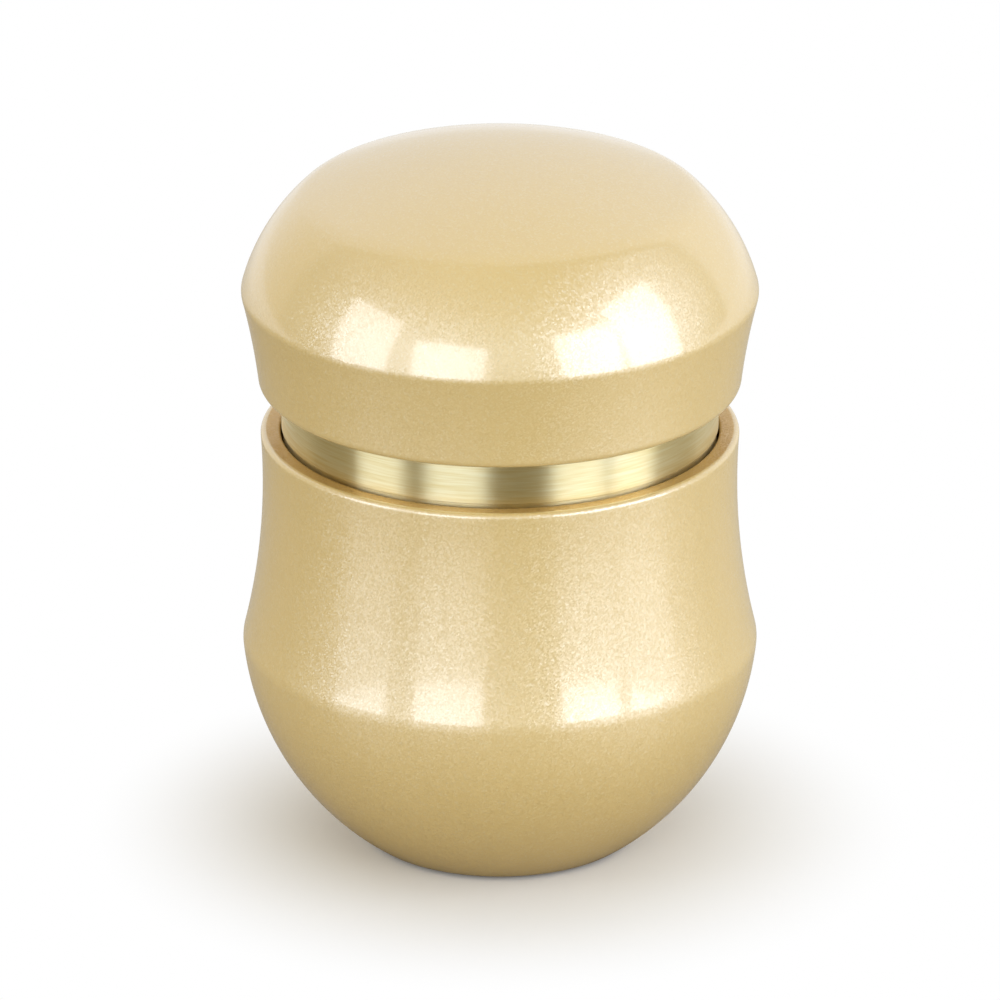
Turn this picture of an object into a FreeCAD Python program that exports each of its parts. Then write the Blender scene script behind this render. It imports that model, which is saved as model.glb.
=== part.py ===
"""Hand-twist grinder: a lacquered cap on a brass collar that turns in the mouth of a lacquered bowl.

Every piece is turned about the Z axis, so most are one revolved outline.  Z = 0 is the table that
the foot pad stands on.  Sizes are in millimetres and angles in degrees.
"""
import FreeCAD, Part
import Sketcher
import math
import os
from enum import IntEnum, auto

doc = FreeCAD.newDocument("grinder")

# Driving sizes

SIZES = {
    # outside of the bowl
    "foot_proud": 0.4,
    "bowl_height": 22.3,
    "neck_height": 23.6,
    "base_radius": 14.55,
    "crease_radius": 27.5,
    "rim_wall": 2.15,
    "bowl_bulge": 29.95,
    "neck_hollow": 73.2,
    "base_round": 0.6,
    "crease_round": 4.0,
    "rim_round": 0.7,
    "mouth_round": 0.3,
    # outside of the cap
    "reveal": 5.2,
    "band_height": 10.5,
    "dome_height": 15.2,
    "cap_overhang": 0.1,
    "cap_crease_radius": 27.5,
    "band_hollow": 78.0,
    "shoulder_bulge": 21.3,
    "shoulder_lean": 14.2,
    "crown_bulge": 52.4,
    "dome_round": 6.95,
    "cap_crease_round": 1.6,
    "cap_lip_round": 0.9,
    # clearances
    "mouth_gap": 0.3,
    "slide_gap": 0.15,
    "running_gap": 0.08,
    "seal_gap": 0.05,
    "tooth_gap": 1.0,
    "boss_gap": 0.6,
    # hollows of the two shells
    "seat_width": 2.55,
    "cap_roof": 4.0,
    "cap_bore_round": 10.0,
    "collar_seat": 5.0,
    "ledge_width": 2.75,
    "bowl_floor": 3.4,
    "bowl_bore_round": 12.0,
    # brass collar
    "collar_radius": 23.05,
    "collar_wall": 2.0,
    "collar_depth": 7.3,
    "collar_rebate": 0.8,
    "web_reach": 2.5,
    "web_thickness": 3.0,
    # glide ring
    "glide_flange": 1.0,
    "glide_height": 3.3,
    # tooth plate and grinding insert
    "plate_recess": 2.0,
    "plate_thickness": 3.0,
    "insert_depth": 5.0,
    "insert_floor": 2.5,
    "boss_wall": 1.7,
    "boss_clearance": 1.0,
    "wall_clearance": 0.85,
    "ring_gap": 0.6,
    "tooth_length": 4.0,
    "upper_inner_teeth": 8,
    "upper_outer_teeth": 14,
    "lower_inner_teeth": 11,
    "lower_outer_teeth": 17,
    "inner_holes": 7,
    "outer_holes": 14,
    "hole_margin": 0.1,
    "magnet_radius": 4.5,
    "magnet_thickness": 2.0,
    # seal of the insert
    "seal_groove_depth": 1.2,
    "seal_groove_width": 1.5,
    "seal_height": 3.8,
    # screws and pins
    "screw_count": 3,
    "screw_radius": 1.0,
    "pin_count": 3,
    "pin_radius": 0.75,
    "pin_inset": 1.75,
    "pin_grip": 4.0,
    "pin_reach": 1.8,
    # sieve
    "sieve_flange": 2.0,
    "sieve_depth": 8.0,
    "sieve_wall": 1.5,
    "sieve_lip": 1.4,
    "sieve_lip_thickness": 1.0,
    "mesh_thickness": 0.3,
    "mesh_opening": 1.5,
    "mesh_pitch": 2.1,
    "mesh_ring_height": 1.2,
    # foot pad
    "pad_radius": 12.0,
    "pad_thickness": 1.3,
}

# Sizes that follow from the driving ones

PLACES = {
    # heights of the outside, from the table up
    "crease_z": "Sizes.foot_proud + Sizes.bowl_height",
    "rim_z": "crease_z + Sizes.neck_height",
    "cap_z": "rim_z + Sizes.reveal",
    "cap_crease_z": "cap_z + Sizes.band_height",
    "apex_z": "cap_crease_z + Sizes.dome_height",
    # radii round the mouth
    "mouth_radius": "Sizes.collar_radius + Sizes.mouth_gap",
    "rim_radius": "mouth_radius + Sizes.rim_wall",
    "cap_lip_radius": "rim_radius + Sizes.cap_overhang",
    "slide_radius": "mouth_radius - Sizes.slide_gap",
    "ledge_radius": "mouth_radius - Sizes.ledge_width",
    "pin_circle": "mouth_radius - Sizes.pin_inset",
    # corner of the dome, where the shoulder arc crosses the crown arc
    "shoulder_centre_radius": "Sizes.cap_crease_radius - Sizes.shoulder_bulge * cos(Sizes.shoulder_lean)",
    "shoulder_centre_z": "cap_crease_z - Sizes.shoulder_bulge * sin(Sizes.shoulder_lean)",
    "crown_centre_z": "apex_z - Sizes.crown_bulge",
    "centres_rise": "shoulder_centre_z - crown_centre_z",
    "centres_apart": "sqrt(shoulder_centre_radius ^ 2 + centres_rise ^ 2)",
    "crossing_along":
        "(Sizes.crown_bulge ^ 2 - Sizes.shoulder_bulge ^ 2 + centres_apart ^ 2) / (2 * centres_apart)",
    "crossing_across": "sqrt(Sizes.crown_bulge ^ 2 - crossing_along ^ 2)",
    "dome_corner_radius":
        "(shoulder_centre_radius * crossing_along + centres_rise * crossing_across) / centres_apart",
    "dome_corner_z":
        "crown_centre_z + (centres_rise * crossing_along - shoulder_centre_radius * crossing_across)"
        " / centres_apart",
    # hollow of the cap
    "seat_z": "cap_z + Sizes.collar_seat",
    "roof_z": "apex_z - Sizes.cap_roof",
    "cap_bore_z": "roof_z - Sizes.cap_bore_round",
    "cap_bore_radius": "Sizes.collar_radius - Sizes.seat_width",
    "cap_roof_radius": "cap_bore_radius - Sizes.cap_bore_round",
    # brass collar and tooth plate
    "collar_z": "rim_z - Sizes.collar_depth",
    "collar_bore": "Sizes.collar_radius - Sizes.collar_wall",
    "rebate_radius": "Sizes.collar_radius - Sizes.collar_rebate",
    "rebate_z": "collar_z + Sizes.glide_height - Sizes.glide_flange + Sizes.running_gap",
    "ceiling_z": "collar_z + Sizes.plate_recess",
    "plate_z": "ceiling_z + Sizes.plate_thickness",
    "web_z": "plate_z + Sizes.web_thickness",
    "plate_radius": "collar_bore - Sizes.seal_gap",
    # glide ring and insert
    "glide_bore": "rebate_radius + Sizes.running_gap",
    "glide_z": "collar_z - Sizes.glide_flange",
    "glide_top_z": "glide_z + Sizes.glide_height",
    "floor_z": "glide_z - Sizes.insert_depth",
    "insert_z": "floor_z - Sizes.insert_floor",
    "groove_radius": "slide_radius - Sizes.seal_groove_depth",
    "seal_z": "insert_z + Sizes.seal_height",
    "groove_low_z": "seal_z - Sizes.seal_groove_width / 2",
    "groove_high_z": "seal_z + Sizes.seal_groove_width / 2",
    "seal_section": "(mouth_radius - Sizes.seal_gap - groove_radius) / 2",
    "seal_circle": "groove_radius + seal_section",
    # facing bosses and their magnets
    "lower_boss_z": "(floor_z + ceiling_z - Sizes.boss_gap) / 2",
    "upper_boss_z": "(floor_z + ceiling_z + Sizes.boss_gap) / 2",
    "lower_pocket_z": "lower_boss_z - Sizes.magnet_thickness",
    "upper_pocket_z": "upper_boss_z + Sizes.magnet_thickness",
    # four rings of teeth with three gaps between them fill the room from the boss to the wall
    "boss_radius": "Sizes.magnet_radius + Sizes.boss_wall",
    "ring_room": "collar_bore - Sizes.wall_clearance - boss_radius - Sizes.boss_clearance",
    "tooth_width": "(ring_room - 3 * Sizes.ring_gap) / 4",
    "half_tooth_width": "tooth_width / 2",
    "half_tooth_length": "Sizes.tooth_length / 2",
    "tooth_reach": "ceiling_z - floor_z - Sizes.tooth_gap",
    "ring_pitch": "tooth_width + Sizes.ring_gap",
    "upper_inner_radius": "boss_radius + Sizes.boss_clearance + half_tooth_width",
    "lower_inner_radius": "upper_inner_radius + ring_pitch",
    "upper_outer_radius": "lower_inner_radius + ring_pitch",
    "lower_outer_radius": "upper_outer_radius + ring_pitch",
    # what sits between two rings of one plate: drop holes below, screw heads above
    "drop_hole_radius": "half_tooth_width + Sizes.ring_gap - Sizes.hole_margin",
    "screw_head_radius": "drop_hole_radius",
    "screw_countersink": "screw_head_radius - Sizes.screw_radius",
    "screw_head_z": "ceiling_z + screw_countersink",
    "web_radius": "lower_inner_radius - Sizes.web_reach",
    # ledge of the bowl, pins and sieve
    "ledge_z": "insert_z - Sizes.sieve_flange",
    "pin_low_z": "ledge_z - Sizes.pin_grip",
    "pin_high_z": "insert_z + Sizes.pin_reach",
    "pin_length": "pin_high_z - pin_low_z",
    "pin_hole_radius": "Sizes.pin_radius + Sizes.slide_gap",
    "pin_hole_reach": "Sizes.pin_reach + Sizes.slide_gap",
    "sieve_radius": "ledge_radius - Sizes.mouth_gap",
    "sieve_bore": "sieve_radius - Sizes.sieve_wall",
    "sieve_lip_radius": "sieve_bore - Sizes.sieve_lip",
    "sieve_z": "ledge_z - Sizes.sieve_depth",
    "mesh_z": "sieve_z + Sizes.sieve_lip_thickness",
    "mesh_top_z": "mesh_z + Sizes.mesh_thickness",
    "mesh_ring_z": "mesh_top_z + Sizes.mesh_ring_height",
    "mesh_radius": "sieve_bore - Sizes.seal_gap",
    # hollow of the bowl and foot pad
    "bowl_floor_z": "Sizes.foot_proud + Sizes.bowl_floor",
    "bowl_bore_z": "bowl_floor_z + Sizes.bowl_bore_round",
    "bowl_floor_radius": "ledge_radius - Sizes.bowl_bore_round",
}


def filled_sheet(name, cells):
    """Add a spreadsheet whose first column holds the cells, each under its own alias."""
    sheet = doc.addObject("Spreadsheet::Sheet", name)
    for row, (alias, content) in enumerate(cells.items(), start=1):
        sheet.set(f"A{row}", content)
        sheet.setAlias(f"A{row}", alias)
    doc.recompute()
    return sheet


sizes = filled_sheet("Sizes", {alias: str(number) for alias, number in SIZES.items()})
places = filled_sheet("Places", {alias: "=" + formula for alias, formula in PLACES.items()})


def bound(alias):
    """The expression that reads a size from whichever sheet holds it."""
    return ("Sizes." if alias in SIZES else "Places.") + alias


def value(alias):
    """The number a size has now."""
    return float(getattr(sizes if alias in SIZES else places, alias))


# Sketches and features

UP = FreeCAD.Vector(0, 0, 1)
EDGE_TOLERANCE = 1e-3
ORIGIN_POINT = (-1, 1)
LEFT, RIGHT = "left", "right"


class Point(IntEnum):
    """Which point of an edge a constraint holds."""
    START = auto()
    END = auto()
    CENTRE = auto()


def new_body(label):
    """Add an empty body for one piece."""
    body = doc.addObject("PartDesign::Body", label)
    body.Label = label
    return body


def origin_feature(body, role):
    """The plane or axis of the body's own origin with this role."""
    return next(feature for feature in body.Origin.OriginFeatures if feature.Role == role)


def new_sketch(body, name, plane, height=None):
    """Add a sketch on an origin plane, raised to a height where one is given."""
    sketch = body.newObject("Sketcher::SketchObject", name)
    sketch.AttachmentSupport = [(origin_feature(body, plane), "")]
    sketch.MapMode = "FlatFace"
    if height:
        sketch.setExpression("AttachmentOffset.Base.z", bound(height))
    return sketch


def hold(sketch, kind, *where, size):
    """Add a dimension and bind it to a size."""
    index = sketch.addConstraint(Sketcher.Constraint(kind, *where, value(size)))
    sketch.setExpression(f"Constraints[{index}]", bound(size))


def hold_point(sketch, geometry, end, across, along):
    """Hold one end of an edge at two sizes from the origin; None puts it in line with the origin."""
    if across:
        hold(sketch, "DistanceX", *ORIGIN_POINT, geometry, end, size=across)
    else:
        sketch.addConstraint(Sketcher.Constraint("Vertical", *ORIGIN_POINT, geometry, end))
    if along:
        hold(sketch, "DistanceY", *ORIGIN_POINT, geometry, end, size=along)
    else:
        sketch.addConstraint(Sketcher.Constraint("Horizontal", *ORIGIN_POINT, geometry, end))


def arc_between(first, last, radius, side):
    """The shorter arc between two points, its centre to the left or right of the way."""
    chord = last - first
    rise = math.sqrt(radius ** 2 - chord.Length ** 2 / 4)
    to_left = FreeCAD.Vector(-chord.y, chord.x, 0).normalize() * rise
    centre = (first + last) / 2 + (to_left if side == LEFT else -to_left)
    ends = [math.atan2(point.y - centre.y, point.x - centre.x) for point in (first, last)]
    if side == RIGHT:
        ends.reverse()
    return Part.ArcOfCircle(Part.Circle(centre, UP, radius), *ends)


def draw_outline(sketch, corners):
    """Draw a closed outline through corners and bind every one of them to its sizes.

    A corner is (radius, height), either of them None on the axis.  A third entry makes the edge
    that leaves it an arc: (radius of the arc, side of its centre).
    """
    points = []
    for radius, height, *_ in corners:
        points.append(FreeCAD.Vector(value(radius) if radius else 0, value(height) if height else 0, 0))
    edges = []
    for corner, first, last in zip(corners, points, points[1:] + points[:1]):
        ends = (Point.START, Point.END)
        if len(corner) == 2:
            edge = Part.LineSegment(first, last)
        else:
            bulge, side = corner[2]
            edge = arc_between(first, last, value(bulge), side)
            ends = ends if side == LEFT else ends[::-1]
        edges.append((sketch.addGeometry(edge), *ends))
    for (edge, _, end), (following, start, _) in zip(edges, edges[1:] + edges[:1]):
        sketch.addConstraint(Sketcher.Constraint("Coincident", edge, end, following, start))
    for (edge, start, _), corner in zip(edges, corners):
        hold_point(sketch, edge, start, corner[0], corner[1])
        if len(corner) == 3:
            hold(sketch, "Radius", edge, size=corner[2][0])


def revolve(body, sketch, name):
    """Turn a sketch on the XZ plane about the Z axis."""
    turned = body.newObject("PartDesign::Revolution", name)
    turned.Profile = sketch
    turned.ReferenceAxis = (sketch, ["V_Axis"])
    turned.Angle = 360
    doc.recompute()
    return turned


def turned_piece(label, corners):
    """A piece that is one revolved outline."""
    body = new_body(label)
    sketch = new_sketch(body, label + "_outline", "XZ_Plane")
    draw_outline(sketch, corners)
    revolve(body, sketch, label + "_turned")
    return body


def circle_edges(feature, radius, height, across=0):
    """Names of the round edges with this radius and height whose centres are so far from the axis."""
    names = []
    for number, edge in enumerate(feature.Shape.Edges, start=1):
        if edge.Degenerated or not isinstance(edge.Curve, Part.Circle):
            continue
        circle = edge.Curve
        offsets = (
            circle.Radius - radius,
            circle.Center.z - height,
            math.hypot(circle.Center.x, circle.Center.y) - across,
        )
        if max(map(abs, offsets)) < EDGE_TOLERANCE:
            names.append(f"Edge{number}")
    return names


def dress_edges(body, name, kind, size, radius, height, across=None):
    """Fillet or chamfer the round edges at these sizes."""
    dressing = body.newObject("PartDesign::" + kind, name)
    base = dressing.BaseFeature
    dressing.Base = (base, circle_edges(base, value(radius), value(height), value(across) if across else 0))
    dressing.setExpression("Radius" if kind == "Fillet" else "Size", bound(size))
    doc.recompute()


def draw_circle(sketch, radius, across=None):
    """Draw a circle on the origin, or out along X by a size."""
    centre = FreeCAD.Vector(value(across) if across else 0, 0, 0)
    circle = sketch.addGeometry(Part.Circle(centre, UP, value(radius)))
    hold(sketch, "Radius", circle, size=radius)
    hold_point(sketch, circle, Point.CENTRE, across, None)


def draw_diamond(sketch, across):
    """Draw one tooth: a diamond out along X, longer round the plate than across it."""
    middle = FreeCAD.Vector(value(across), 0, 0)
    wide = FreeCAD.Vector(value("half_tooth_width"), 0, 0)
    tall = FreeCAD.Vector(0, value("half_tooth_length"), 0)
    tips = [middle + wide, middle + tall, middle - wide, middle - tall]
    sides = []
    for first, last in zip(tips, tips[1:] + tips[:1]):
        sides.append(sketch.addGeometry(Part.LineSegment(first, last)))
    for side, following in zip(sides, sides[1:] + sides[:1]):
        sketch.addConstraint(Sketcher.Constraint("Coincident", side, Point.END, following, Point.START))
    outer, upper, inner, lower = sides
    centre = sketch.addGeometry(Part.Point(middle))
    hold_point(sketch, centre, Point.START, across, None)
    for tip in (outer, inner):
        sketch.addConstraint(Sketcher.Constraint("Horizontal", tip, Point.START, centre, Point.START))
    hold(sketch, "DistanceX", centre, Point.START, outer, Point.START, size="half_tooth_width")
    hold(sketch, "DistanceX", inner, Point.START, centre, Point.START, size="half_tooth_width")
    hold(sketch, "DistanceY", centre, Point.START, upper, Point.START, size="half_tooth_length")
    hold(sketch, "DistanceY", lower, Point.START, centre, Point.START, size="half_tooth_length")
    for tip in (upper, lower):
        sketch.addConstraint(Sketcher.Constraint("Vertical", tip, Point.START, centre, Point.START))


def extrude(body, sketch, name, kind, length, upward):
    """Pad or pocket a flat sketch by a size, up or down."""
    feature = body.newObject("PartDesign::" + kind, name)
    feature.Profile = sketch
    feature.setExpression("Length", bound(length))
    cuts = kind == "Pocket"
    feature.Reversed = upward if cuts else not upward
    doc.recompute()
    return feature


def repeat_round(body, feature, count):
    """Repeat a feature about the Z axis as often as a size says."""
    pattern = body.newObject("PartDesign::PolarPattern", feature.Name + "_round")
    pattern.Originals = [feature]
    pattern.Axis = (origin_feature(body, "Z_Axis"), [""])
    pattern.Angle = 360
    pattern.setExpression("Occurrences", bound(count))
    body.Tip = pattern
    doc.recompute()
    return pattern


def ring_of_holes(body, name, height, across, radius, depth, count):
    """Sink a ring of round holes upward from a height."""
    sketch = new_sketch(body, name + "_circle", "XY_Plane", height)
    draw_circle(sketch, radius, across)
    hole = extrude(body, sketch, name, "Pocket", depth, upward=True)
    return repeat_round(body, hole, count)


def ring_of_teeth(body, name, height, across, count, upward):
    """Stand a ring of diamond teeth on a plate."""
    sketch = new_sketch(body, name + "_diamond", "XY_Plane", height)
    draw_diamond(sketch, across)
    tooth = extrude(body, sketch, name, "Pad", "tooth_reach", upward)
    return repeat_round(body, tooth, count)


# Bowl shell: one turned shell with a stepped bore that ends in a round-cornered bowl

bowl = turned_piece("bowl_shell", [
    (None, "bowl_floor_z"),
    (None, "pad_thickness"),
    ("pad_radius", "pad_thickness"),
    ("pad_radius", "foot_proud"),
    ("base_radius", "foot_proud", ("bowl_bulge", LEFT)),
    ("crease_radius", "crease_z", ("neck_hollow", RIGHT)),
    ("rim_radius", "rim_z"),
    ("mouth_radius", "rim_z"),
    ("mouth_radius", "ledge_z"),
    ("ledge_radius", "ledge_z"),
    ("ledge_radius", "bowl_bore_z", ("bowl_bore_round", RIGHT)),
    ("bowl_floor_radius", "bowl_floor_z"),
])
dress_edges(bowl, "bowl_crease", "Fillet", "crease_round", "crease_radius", "crease_z")
dress_edges(bowl, "bowl_rim", "Fillet", "rim_round", "rim_radius", "rim_z")
dress_edges(bowl, "bowl_mouth", "Fillet", "mouth_round", "mouth_radius", "rim_z")
dress_edges(bowl, "bowl_base", "Fillet", "base_round", "base_radius", "foot_proud")
ring_of_holes(bowl, "pin_sockets", "pin_low_z", "pin_circle", "pin_radius", "pin_grip", "pin_count")

# Foot pad: a silicone disc in the recess under the base

pad = new_body("foot_pad")
pad_sketch = new_sketch(pad, "pad_circle", "XY_Plane")
draw_circle(pad_sketch, "pad_radius")
extrude(pad, pad_sketch, "pad_disc", "Pad", "pad_thickness", upward=True)

# Drive pins: dowels pressed into the ledge, which keep both inserts from turning

pins = new_body("drive_pins")
pin_sketch = new_sketch(pins, "pin_circle_sketch", "XY_Plane", "pin_low_z")
draw_circle(pin_sketch, "pin_radius", "pin_circle")
repeat_round(pins, extrude(pins, pin_sketch, "pin", "Pad", "pin_length", upward=True), "pin_count")

# Sieve: a flanged cup on the ledge, a net on its lip and a ring that holds the net down

sieve = turned_piece("sieve_cup", [
    ("slide_radius", "ledge_z"),
    ("slide_radius", "insert_z"),
    ("sieve_bore", "insert_z"),
    ("sieve_bore", "mesh_z"),
    ("sieve_lip_radius", "mesh_z"),
    ("sieve_lip_radius", "sieve_z"),
    ("sieve_radius", "sieve_z"),
    ("sieve_radius", "ledge_z"),
])
ring_of_holes(sieve, "flange_holes", "ledge_z", "pin_circle", "pin_hole_radius",
              "sieve_flange", "pin_count")

turned_piece("mesh_ring", [
    ("sieve_lip_radius", "mesh_top_z"),
    ("mesh_radius", "mesh_top_z"),
    ("mesh_radius", "mesh_ring_z"),
    ("sieve_lip_radius", "mesh_ring_z"),
])


def net():
    """A round sheet with square openings on a square pitch, as one holed face made thick."""
    radius, pitch, opening = value("mesh_radius"), value("mesh_pitch"), value("mesh_opening")
    clear_radius = value("sieve_lip_radius")
    wires = [Part.Wire(Part.makeCircle(radius))]
    reach = int(radius / pitch)
    for row in range(-reach, reach + 1):
        for column in range(-reach, reach + 1):
            middle = FreeCAD.Vector(column * pitch, row * pitch, 0)
            corner = FreeCAD.Vector(opening / 2, opening / 2, 0)
            if math.hypot(abs(middle.x) + corner.x, abs(middle.y) + corner.y) < clear_radius:
                wires.append(Part.makePlane(opening, opening, middle - corner).OuterWire)
    return Part.makeFace(wires, "Part::FaceMakerBullseye").extrude(UP * value("mesh_thickness"))


mesh = doc.addObject("Part::Feature", "sieve_mesh")
mesh.Label = "sieve_mesh"
mesh.Shape = net()
mesh.setExpression("Placement.Base.z", bound("mesh_z"))

# Grinding insert: a cup with drop holes, diamond teeth and a boss for its magnet

insert = turned_piece("grinding_insert", [
    (None, "lower_pocket_z"),
    (None, "insert_z"),
    ("slide_radius", "insert_z"),
    ("slide_radius", "groove_low_z"),
    ("groove_radius", "groove_low_z"),
    ("groove_radius", "groove_high_z"),
    ("slide_radius", "groove_high_z"),
    ("slide_radius", "glide_z"),
    ("collar_bore", "glide_z"),
    ("collar_bore", "floor_z"),
    ("boss_radius", "floor_z"),
    ("boss_radius", "lower_boss_z"),
    ("magnet_radius", "lower_boss_z"),
    ("magnet_radius", "lower_pocket_z"),
])
ring_of_teeth(insert, "lower_inner", "floor_z", "lower_inner_radius", "lower_inner_teeth", upward=True)
ring_of_teeth(insert, "lower_outer", "floor_z", "lower_outer_radius", "lower_outer_teeth", upward=True)
ring_of_holes(insert, "inner_drops", "insert_z", "upper_inner_radius", "drop_hole_radius",
              "insert_floor", "inner_holes")
ring_of_holes(insert, "outer_drops", "insert_z", "upper_outer_radius", "drop_hole_radius",
              "insert_floor", "outer_holes")
ring_of_holes(insert, "insert_pin_holes", "insert_z", "pin_circle", "pin_hole_radius",
              "pin_hole_reach", "pin_count")

turned_piece("insert_magnet", [
    (None, "lower_pocket_z"),
    ("magnet_radius", "lower_pocket_z"),
    ("magnet_radius", "lower_boss_z"),
    (None, "lower_boss_z"),
])

seal = doc.addObject("Part::Torus", "insert_seal")
seal.Label = "insert_seal"
seal.setExpression("Radius1", bound("seal_circle"))
seal.setExpression("Radius2", bound("seal_section"))
seal.setExpression("Placement.Base.z", bound("seal_z"))

# Glide ring: an L-section ring round the end of the collar, which the cap turns on

turned_piece("glide_ring", [
    ("collar_bore", "glide_z"),
    ("slide_radius", "glide_z"),
    ("slide_radius", "glide_top_z"),
    ("glide_bore", "glide_top_z"),
    ("glide_bore", "collar_z"),
    ("collar_bore", "collar_z"),
])

# Brass collar: a turned ring with an inner web, pressed into the cap and running in the mouth

collar = turned_piece("brass_collar", [
    ("collar_bore", "collar_z"),
    ("rebate_radius", "collar_z"),
    ("rebate_radius", "rebate_z"),
    ("collar_radius", "rebate_z"),
    ("collar_radius", "seat_z"),
    ("collar_bore", "seat_z"),
    ("collar_bore", "web_z"),
    ("web_radius", "web_z"),
    ("web_radius", "plate_z"),
    ("collar_bore", "plate_z"),
])
ring_of_holes(collar, "web_holes", "plate_z", "lower_inner_radius", "screw_radius",
              "web_thickness", "screw_count")

# Upper tooth plate: a disc with diamond teeth that hang between those of the insert

plate = turned_piece("upper_tooth_plate", [
    (None, "plate_z"),
    (None, "upper_pocket_z"),
    ("magnet_radius", "upper_pocket_z"),
    ("magnet_radius", "upper_boss_z"),
    ("boss_radius", "upper_boss_z"),
    ("boss_radius", "ceiling_z"),
    ("plate_radius", "ceiling_z"),
    ("plate_radius", "plate_z"),
])
ring_of_teeth(plate, "upper_inner", "ceiling_z", "upper_inner_radius", "upper_inner_teeth", upward=False)
ring_of_teeth(plate, "upper_outer", "ceiling_z", "upper_outer_radius", "upper_outer_teeth", upward=False)
ring_of_holes(plate, "plate_holes", "ceiling_z", "lower_inner_radius", "screw_radius",
              "plate_thickness", "screw_count")
dress_edges(plate, "countersinks", "Chamfer", "screw_countersink",
            "screw_radius", "ceiling_z", "lower_inner_radius")

turned_piece("cap_magnet", [
    (None, "upper_boss_z"),
    ("magnet_radius", "upper_boss_z"),
    ("magnet_radius", "upper_pocket_z"),
    (None, "upper_pocket_z"),
])

# Cap screws: three countersunk screws through the plate into the web of the collar

screws = new_body("cap_screws")
screw_sketch = new_sketch(screws, "screw_outline", "XZ_Plane")
screw_sketch.setExpression("AttachmentOffset.Base.x", bound("lower_inner_radius"))
draw_outline(screw_sketch, [
    (None, "ceiling_z"),
    ("screw_head_radius", "ceiling_z"),
    ("screw_radius", "screw_head_z"),
    ("screw_radius", "web_z"),
    (None, "web_z"),
])
repeat_round(screws, revolve(screws, screw_sketch, "screw"), "screw_count")

# Cap shell: a turned dome with a hollow band under its crease and a counterbore for the collar

cap = turned_piece("cap_shell", [
    (None, "apex_z", ("crown_bulge", RIGHT)),
    ("dome_corner_radius", "dome_corner_z", ("shoulder_bulge", RIGHT)),
    ("cap_crease_radius", "cap_crease_z", ("band_hollow", LEFT)),
    ("cap_lip_radius", "cap_z"),
    ("collar_radius", "cap_z"),
    ("collar_radius", "seat_z"),
    ("cap_bore_radius", "seat_z"),
    ("cap_bore_radius", "cap_bore_z", ("cap_bore_round", LEFT)),
    ("cap_roof_radius", "roof_z"),
    (None, "roof_z"),
])
dress_edges(cap, "cap_dome", "Fillet", "dome_round", "dome_corner_radius", "dome_corner_z")
dress_edges(cap, "cap_crease", "Fillet", "cap_crease_round", "cap_crease_radius", "cap_crease_z")
dress_edges(cap, "cap_lip", "Fillet", "cap_lip_round", "cap_lip_radius", "cap_z")

# Check every feature and piece, then write one file for each piece

doc.recompute()
for item in doc.Objects:
    if {"Invalid", "Error"} & set(item.State):
        raise RuntimeError(f"{item.Label}: {item.State}")
pieces = [item for item in doc.Objects if item.TypeId in ("PartDesign::Body", "Part::Torus", "Part::Feature")]
for piece in pieces:
    if piece.Shape.isNull() or not piece.Shape.isValid() or not piece.Shape.Solids:
        raise RuntimeError(f"{piece.Label}: no valid solid")
os.makedirs("parts", exist_ok=True)
for piece in pieces:
    piece.Shape.exportStep(f"parts/{piece.Label}.step")
    print(piece.Label, len(piece.Shape.Solids), round(piece.Shape.Volume, 1))
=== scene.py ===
import math

import bmesh
import bpy
import numpy as np
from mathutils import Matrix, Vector


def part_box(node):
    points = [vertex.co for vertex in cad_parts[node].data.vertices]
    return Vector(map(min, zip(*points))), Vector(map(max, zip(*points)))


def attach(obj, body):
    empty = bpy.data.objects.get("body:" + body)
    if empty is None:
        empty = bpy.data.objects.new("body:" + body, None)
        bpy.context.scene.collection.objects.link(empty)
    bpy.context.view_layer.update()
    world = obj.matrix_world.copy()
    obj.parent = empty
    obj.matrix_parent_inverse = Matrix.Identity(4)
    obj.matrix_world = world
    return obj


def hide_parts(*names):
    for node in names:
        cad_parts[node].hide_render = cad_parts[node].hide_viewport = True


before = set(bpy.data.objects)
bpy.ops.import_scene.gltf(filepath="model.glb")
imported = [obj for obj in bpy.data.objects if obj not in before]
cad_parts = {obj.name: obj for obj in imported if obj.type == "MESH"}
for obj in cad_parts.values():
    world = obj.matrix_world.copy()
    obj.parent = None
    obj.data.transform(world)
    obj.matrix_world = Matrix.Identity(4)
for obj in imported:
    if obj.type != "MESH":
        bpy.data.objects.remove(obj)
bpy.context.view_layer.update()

# Bowl shell
# The lower half of the grinder, turned from aluminium with a stepped bore and a deep bowl.
# Outside and just inside the mouth it is sprayed with champagne pearl under clear gloss lacquer; the
# rest of the bore is left as it was turned.

MM = 0.001
LEFT, RIGHT = 1, -1
TURNS = 320


def straight(first, last, count=10):
    """Points at even steps on the line between two (radius, height) points."""
    step = np.linspace(0, 1, count)[:, None]
    return np.array(first) * (1 - step) + np.array(last) * step


def through(*corners):
    """Straight runs from corner to corner."""
    return [straight(first, last) for first, last in zip(corners, corners[1:])]


def bulged(first, last, radius, side, count=48):
    """Points at even angles on the shorter arc of a radius, its centre left or right of the way."""
    first, last = np.array(first), np.array(last)
    chord = last - first
    length = np.hypot(*chord)
    to_left = np.array([-chord[1], chord[0]]) / length
    centre = (first + last) / 2 + side * to_left * math.sqrt(max(radius ** 2 - length ** 2 / 4, 0))
    start = math.atan2(*(first - centre)[::-1])
    sweep = math.remainder(math.atan2(*(last - centre)[::-1]) - start, 2 * math.pi)
    angle = start + sweep * np.linspace(0, 1, count)
    return centre + radius * np.stack([np.cos(angle), np.sin(angle)], axis=1)


def trimmed(run, before, after):
    """A run of points with a length cut off each end, measured along it."""
    along = np.concatenate([[0], np.cumsum(np.hypot(*np.diff(run, axis=0).T))])
    keep = np.linspace(before, along[-1] - after, len(run))
    return np.stack([np.interp(keep, along, run[:, axis]) for axis in (0, 1)], axis=1)


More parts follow.
